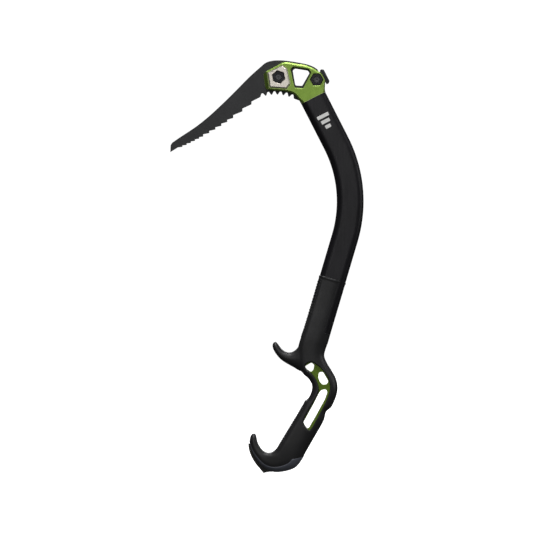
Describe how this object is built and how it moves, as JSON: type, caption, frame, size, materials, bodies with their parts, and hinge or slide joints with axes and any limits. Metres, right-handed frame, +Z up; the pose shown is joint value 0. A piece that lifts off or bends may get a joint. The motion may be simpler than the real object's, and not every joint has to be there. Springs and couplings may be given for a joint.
{
  "type": "ice axe",
  "caption": "Technical ice axe: toothed steel pick bolted in a forged head with pick weights and a small hammer, bent tubular shaft, offset moulded handle with finger hooks and a pommel spike.",
  "frame": {"origin": "middle of the lower grip on the tool's mid-plane, where the hand holds it", "axes": "+Z up with the tool upright in the hand, +X towards the back of the tool (the pick points to -X), +Y across the tool, away from the side with the nuts"},
  "size_m": [0.2317, 0.026, 0.4951],
  "materials": {
    "pick_steel": "charcoal finished forged steel, satin",
    "head_anodised": "lime green anodised forging, bead blasted",
    "weight_steel": "brushed stainless steel",
    "fastener_black": "black oxide",
    "hammer_steel": "black finished steel",
    "shaft_black": "black anodised hydroformed tube, satin",
    "pin_steel": "plain steel",
    "grip_rubber": "matt moulded rubber",
    "rib_rubber": "soft ribbed rubber",
    "frame_anodised": "green anodised forging",
    "handle_rubber": "moulded rubber, satin",
    "guard_plastic": "harder, smoother moulded rim",
    "spike_steel": "dark heat treated steel"
  },
  "bodies": {
    "root": {"pick": "pick_steel", "head": "head_anodised", "near_pick_weight": "weight_steel", "far_pick_weight": "weight_steel", "pick_nuts": "fastener_black", "micro_hammer": "hammer_steel", "shaft_tube": "shaft_black", "tang_pins": "pin_steel", "shaft_grip": "grip_rubber", "shaft_grip_ribs": "rib_rubber", "handle_frame": "frame_anodised", "handle_overmould": "handle_rubber", "lower_grip_ribs": "rib_rubber", "pommel_guard": "guard_plastic", "spike": "spike_steel", "spike_rivets": "pin_steel"},
    "front_washer": {"front_washer": "fastener_black"},
    "front_bolt": {"front_bolt": "fastener_black"},
    "rear_washer": {"rear_washer": "fastener_black"},
    "rear_bolt": {"rear_bolt": "fastener_black"}
  },
  "joints": [
    {"name": "front_bolt_turn", "type": "hinge", "parent": "root", "child": "front_washer", "pos_m": [-0.03544, 0, 0.41063], "axis": [0, 1, 0], "range_deg": [0, 1440]},
    {"name": "front_bolt_travel", "type": "slide", "parent": "front_washer", "child": "front_bolt", "axis": [0, 1, 0], "range_m": [0, 0.00501]},
    {"name": "rear_bolt_turn", "type": "hinge", "parent": "root", "child": "rear_washer", "pos_m": [0.01029, 0, 0.40767], "axis": [0, 1, 0], "range_deg": [0, 1440]},
    {"name": "rear_bolt_travel", "type": "slide", "parent": "rear_washer", "child": "rear_bolt", "axis": [0, 1, 0], "range_m": [0, 0.00501]}
  ],
  "couplings": [
    {"joint": "front_bolt_travel", "follows": "front_bolt_turn", "m_per_rad": 0.00019894},
    {"joint": "rear_bolt_travel", "follows": "rear_bolt_turn", "m_per_rad": 0.00019894}
  ]
}
